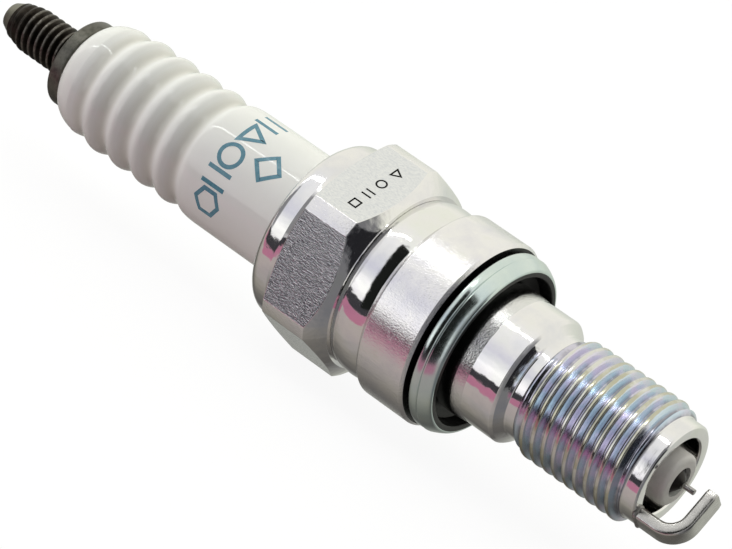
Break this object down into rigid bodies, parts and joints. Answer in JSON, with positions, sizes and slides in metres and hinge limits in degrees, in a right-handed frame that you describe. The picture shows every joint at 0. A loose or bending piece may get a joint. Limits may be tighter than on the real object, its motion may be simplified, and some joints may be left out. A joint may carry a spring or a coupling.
{
  "type": "spark plug",
  "caption": "Spark plug: ribbed ceramic insulator, threaded terminal stud, hexagon shell with captive folded gasket, half-threaded reach and fine-wire electrode under a bent ground electrode",
  "frame": {"origin": "on the plug's axis, in the plane of the shell's gasket seat", "axes": "+Z along the axis to the terminal, -Z out through the electrodes; the ground electrode stands at -X"},
  "size_m": [0.0168, 0.0178, 0.0716],
  "materials": {
    "blackened_steel": "dark phosphate, satin",
    "glazed_alumina": "glossy white glaze",
    "plated_steel": "bright plated, faintly iridescent",
    "gasket_steel": "smooth rolled",
    "bare_steel": "plain drawn",
    "pressed_talc": "matt pressed powder",
    "conducting_glass": "dark fused",
    "resistor_core": "matt fired",
    "nickel_alloy": "polished drawn",
    "copper": "bright drawn",
    "precious_metal": "fine ground"
  },
  "bodies": {
    "plug": {"terminal_stud": "blackened_steel", "insulator": "glazed_alumina", "metal_shell": "plated_steel", "upper_wire_ring": "bare_steel", "talc_fill": "pressed_talc", "lower_wire_ring": "bare_steel", "seat_washer": "bare_steel", "upper_glass_seal": "conducting_glass", "resistor": "resistor_core", "lower_glass_seal": "conducting_glass", "centre_electrode": "nickel_alloy", "copper_core": "copper", "fine_wire_tip": "precious_metal", "ground_electrode": "nickel_alloy"},
    "captive_gasket": {"gasket": "gasket_steel"}
  },
  "joints": [
    {"name": "gasket_slide", "type": "slide", "parent": "plug", "child": "captive_gasket", "axis": [0, 0, -1], "range_m": [-0.0002, 0.00045]}
  ]
}
